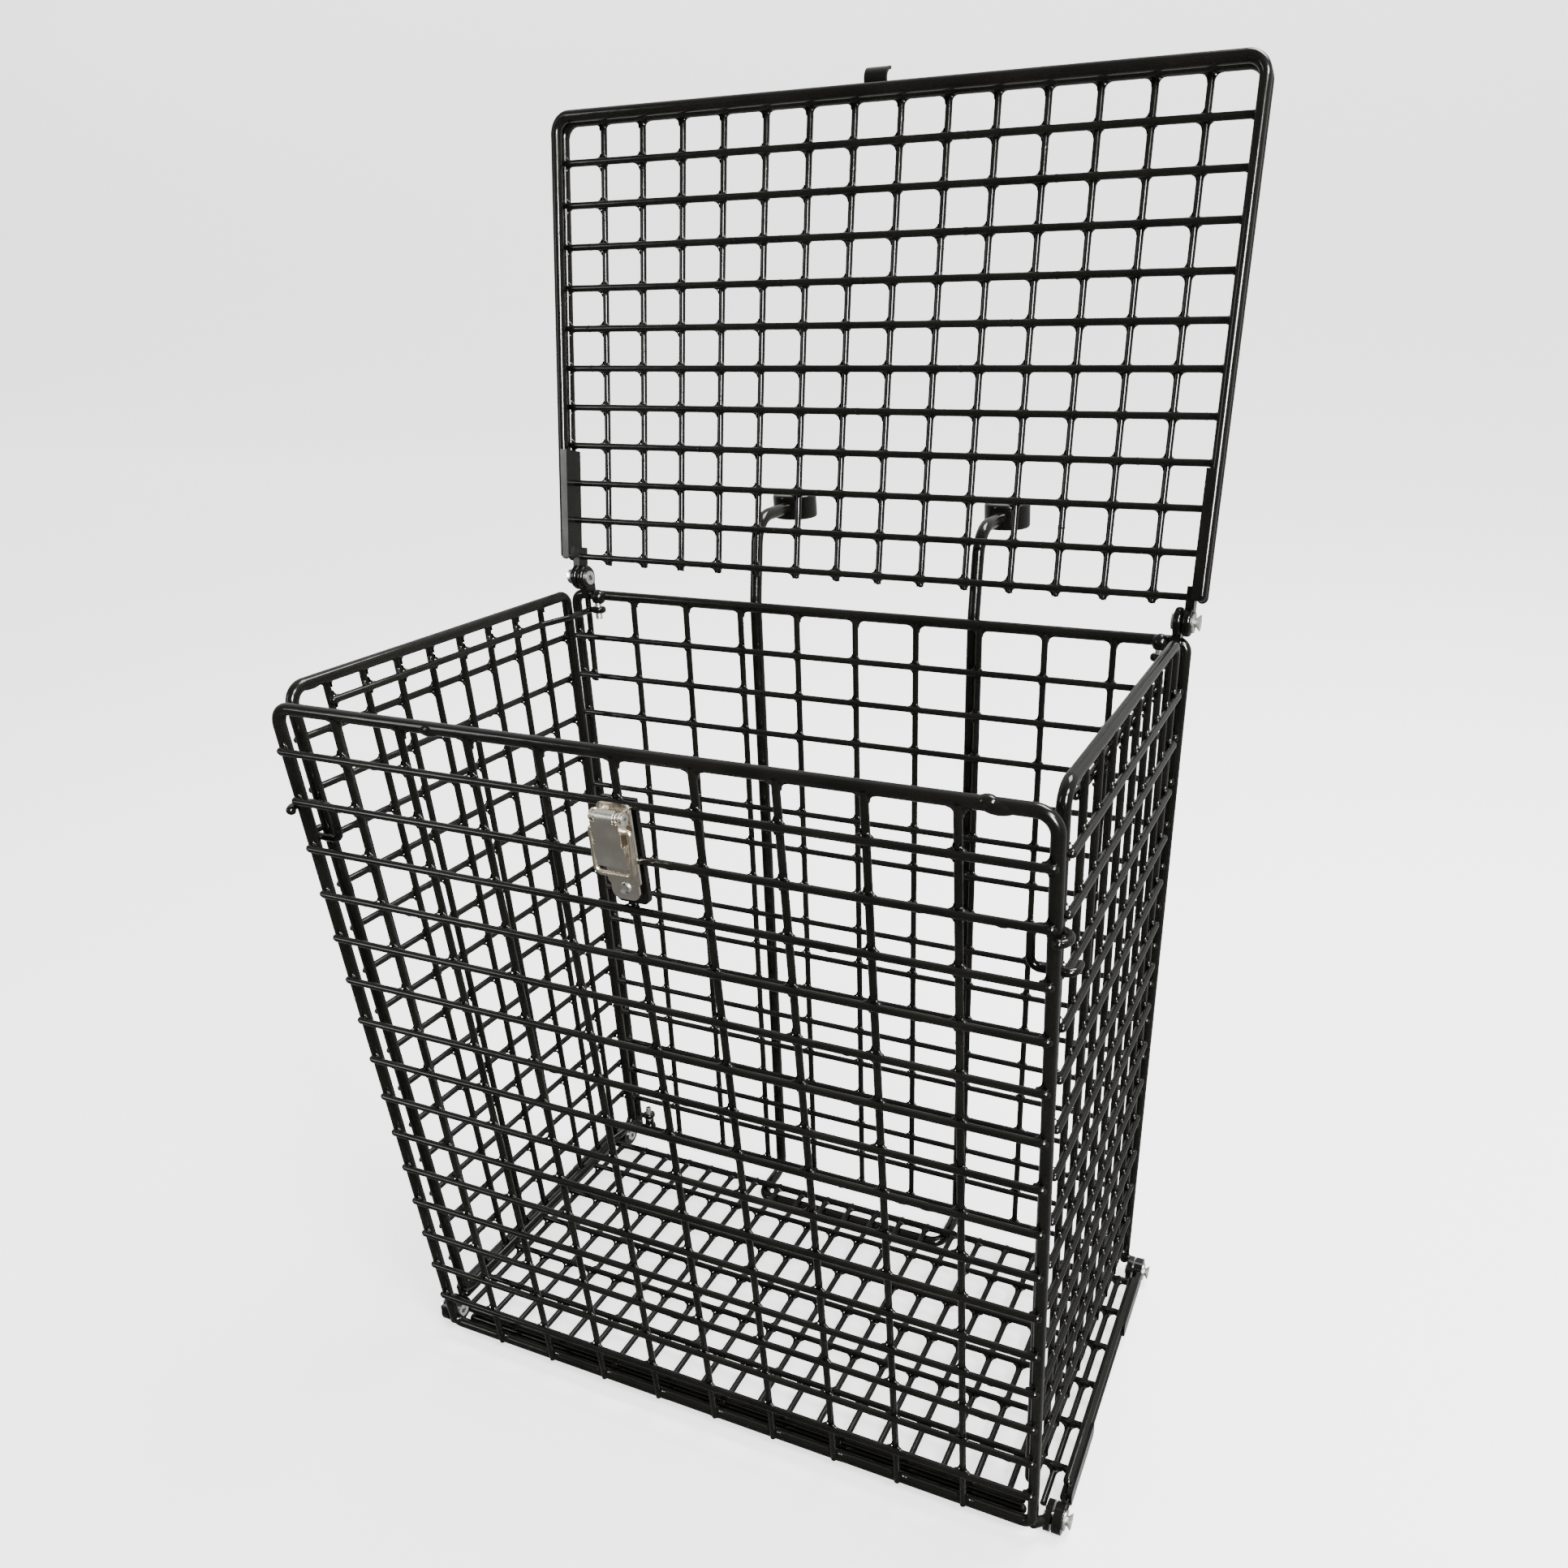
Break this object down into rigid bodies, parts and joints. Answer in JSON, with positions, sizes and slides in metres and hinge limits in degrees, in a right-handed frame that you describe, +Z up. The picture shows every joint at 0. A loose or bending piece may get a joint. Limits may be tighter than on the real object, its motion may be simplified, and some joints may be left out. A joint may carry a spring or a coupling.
{
  "type": "folding wire cage",
  "caption": "Folding black coated wire cage with hinged lid, swing-in sides, toggle latch, corner catches and a rear hook-over hanger.",
  "frame": {"origin": "centre of the cage's footprint box on the surface it stands on", "axes": "+X to the right seen from the front, +Y to the back (hanger side), +Z up"},
  "size_m": [0.4174, 0.3313, 0.6821],
  "materials": {
    "coating": "gloss",
    "plating": "bright",
    "bare_steel": "satin"
  },
  "bodies": {
    "floor_panel": {"floor_edge_rod": "coating", "floor_lip_rod": "coating", "floor_rear_rail": "coating", "floor_long_wires": "coating", "floor_cross_wires": "coating", "floor_front_straps": "coating", "floor_rear_straps": "coating", "floor_hinge_rivets": "bare_steel", "floor_hinge_washers": "bare_steel"},
    "front_panel": {"front_frame_rod": "coating", "front_cross_wires": "coating", "front_upright_wires": "coating", "front_hinge_ears": "coating", "front_latch_strip": "coating", "latch_base": "plating", "latch_rivets": "bare_steel", "latch_pivot": "bare_steel"},
    "latch_lever": {"latch_lever": "plating"},
    "latch_bail": {"latch_bail": "plating"},
    "catch_right": {"catch_right": "coating"},
    "catch_left": {"catch_left": "coating"},
    "back_panel": {"back_frame_rod": "coating", "back_cross_wires": "coating", "back_upright_wires": "coating", "back_stub_wires": "coating", "back_lid_ears": "coating", "back_lower_ears": "coating", "back_pin_bosses": "coating", "back_hinge_pins": "bare_steel", "lid_hinge_rivets": "bare_steel", "lid_hinge_washers": "bare_steel", "hanger_rod": "coating", "hanger_pucks": "coating"},
    "side_right": {"side_right_frame_rod": "coating", "side_right_cross_wires": "coating", "side_right_upright_wires": "coating", "side_right_hinge_wires": "coating"},
    "side_left": {"side_left_frame_rod": "coating", "side_left_cross_wires": "coating", "side_left_upright_wires": "coating", "side_left_hinge_wires": "coating"},
    "lid": {"lid_edge_rod": "coating", "lid_lip_rod": "coating", "lid_hinge_wire": "coating", "lid_cross_wires": "coating", "lid_long_wires": "coating", "lid_hinge_straps": "coating", "lid_hook_tab": "coating"}
  },
  "joints": [
    {"name": "back_fold", "type": "hinge", "parent": "floor_panel", "child": "back_panel", "pos_m": [0, 0.0461, 0.008], "axis": [1, 0, 0], "range_deg": [-0.8, 0.15]},
    {"name": "front_fold", "type": "hinge", "parent": "floor_panel", "child": "front_panel", "pos_m": [0, -0.1409, 0.008], "axis": [1, 0, 0], "range_deg": [0, 88]},
    {"name": "lid_swing", "type": "hinge", "parent": "back_panel", "child": "lid", "pos_m": [0, 0.0851, 0.4252], "axis": [1, 0, 0], "range_deg": [0, 99.5]},
    {"name": "side_right_swing", "type": "hinge", "parent": "back_panel", "child": "side_right", "pos_m": [0.178, 0.0654, 0.2112], "axis": [0, 0.0847, 0.9964], "range_deg": [-60, 0]},
    {"name": "side_left_swing", "type": "hinge", "parent": "back_panel", "child": "side_left", "pos_m": [-0.178, 0.0654, 0.2112], "axis": [0, 0.0847, 0.9964], "range_deg": [0, 60]},
    {"name": "catch_right_swivel", "type": "hinge", "parent": "front_panel", "child": "catch_right", "pos_m": [0.1905, -0.1509, 0.3542], "axis": [0, 0, 1], "range_deg": [-12, 0]},
    {"name": "catch_left_swivel", "type": "hinge", "parent": "front_panel", "child": "catch_left", "pos_m": [-0.1905, -0.1509, 0.3542], "axis": [0, 0, 1], "range_deg": [0, 12]},
    {"name": "latch_lever_swing", "type": "hinge", "parent": "front_panel", "child": "latch_lever", "pos_m": [0.0005, -0.1619, 0.3892], "axis": [1, 0, 0], "range_deg": [-150, 0]},
    {"name": "latch_bail_swing", "type": "hinge", "parent": "latch_lever", "child": "latch_bail", "pos_m": [0.0005, -0.1621, 0.3836], "axis": [-1, 0, 0], "range_deg": [0, 170]}
  ]
}
